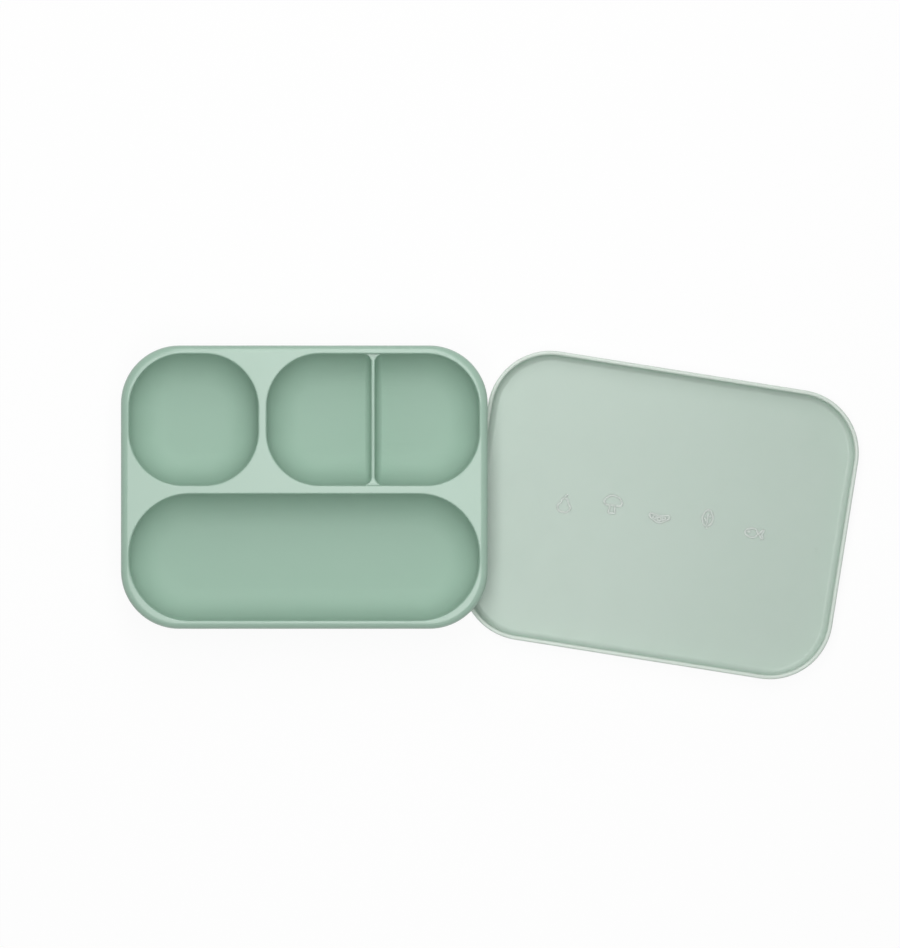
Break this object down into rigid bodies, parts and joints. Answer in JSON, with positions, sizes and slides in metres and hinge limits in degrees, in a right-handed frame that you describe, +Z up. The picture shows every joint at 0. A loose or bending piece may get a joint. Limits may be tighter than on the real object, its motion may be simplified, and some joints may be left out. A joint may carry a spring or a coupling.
{
  "type": "suction divided tray with lid",
  "caption": "Rounded rectangular silicone feeding tray with food pockets, a low divider, a suction foot with a release tab, and a translucent lid that fits over its rim.",
  "frame": {"origin": "centre of the suction foot's contact plane, under the middle of the tray", "axes": "+Z up out of the pockets, +X along the tray's long side towards the lid at rest, +Y towards the side with the two upper pockets"},
  "size_m": [0.4443, 0.2011, 0.04],
  "materials": {
    "tray_silicone": "sage-green food silicone, satin matt",
    "foot_silicone": "softer sage-green silicone, smooth lip",
    "lid_silicone": "frosted translucent pale green silicone"
  },
  "bodies": {
    "root": {"tray": "tray_silicone", "suction_foot": "foot_silicone"},
    "lid": {"lid": "lid_silicone"},
    "tab": {"release_tab": "foot_silicone"}
  },
  "joints": [
    {"name": "lid_turns_over", "type": "hinge", "parent": "root", "child": "lid", "pos_m": [0.1078, 0, 0.0213], "axis": [-0.0785, -0.9969, 0], "range_deg": [0, 180]},
    {"name": "tab_lifts", "type": "hinge", "parent": "root", "child": "tab", "pos_m": [0, -0.061, 0.0008], "axis": [-1, 0, 0], "range_deg": [0, 45], "stiffness_Nm_per_rad": 0.002}
  ]
}
